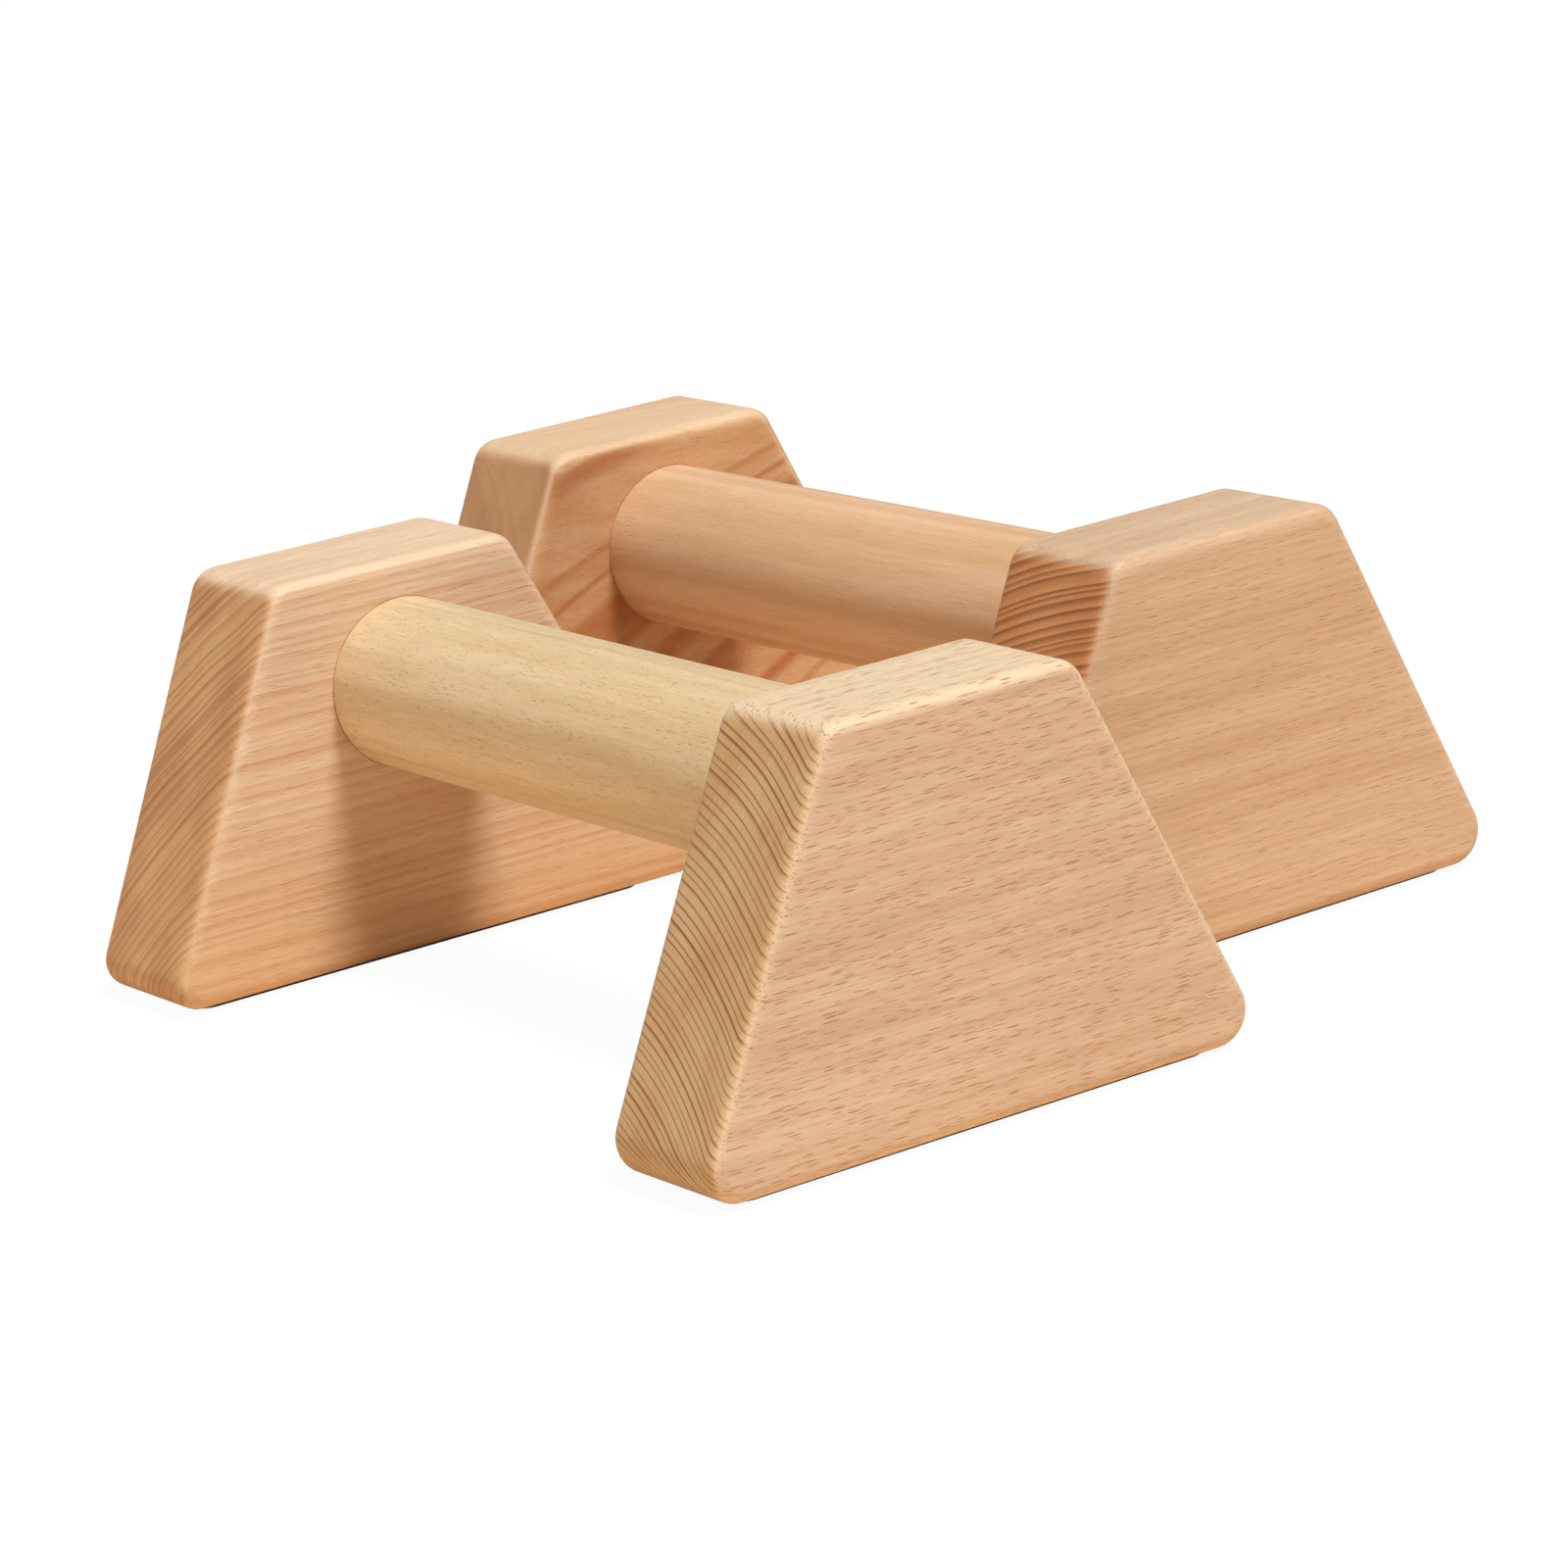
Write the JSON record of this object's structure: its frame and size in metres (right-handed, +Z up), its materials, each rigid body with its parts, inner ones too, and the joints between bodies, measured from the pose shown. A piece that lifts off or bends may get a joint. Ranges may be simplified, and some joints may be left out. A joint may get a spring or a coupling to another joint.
{
  "type": "pair of push-up bars",
  "caption": "Two low wooden stands, each a thick round handle glued between two trapezoid end blocks, gripped for push-ups and supports.",
  "frame": {"origin": "on the floor, midway between the two stands", "axes": "+X along the handles, +Y from the front stand to the back stand, +Z up"},
  "size_m": [0.3108, 0.2646, 0.0941],
  "materials": {
    "block_wood": "sanded beech, satin oil",
    "handle_wood": "sanded beech, satin oil",
    "pad_rubber": "matt"
  },
  "bodies": {
    "front_stand": {"front_left_block": "block_wood", "front_left_pad": "pad_rubber", "front_right_block": "block_wood", "front_right_pad": "pad_rubber", "front_handle": "handle_wood"},
    "back_stand": {"back_left_block": "block_wood", "back_left_pad": "pad_rubber", "back_right_block": "block_wood", "back_right_pad": "pad_rubber", "back_handle": "handle_wood"}
  },
  "joints": [
    {"name": "stand_spacing", "type": "slide", "parent": "front_stand", "child": "back_stand", "axis": [0, 1, 0], "range_m": [-0.045, 0.45]}
  ]
}
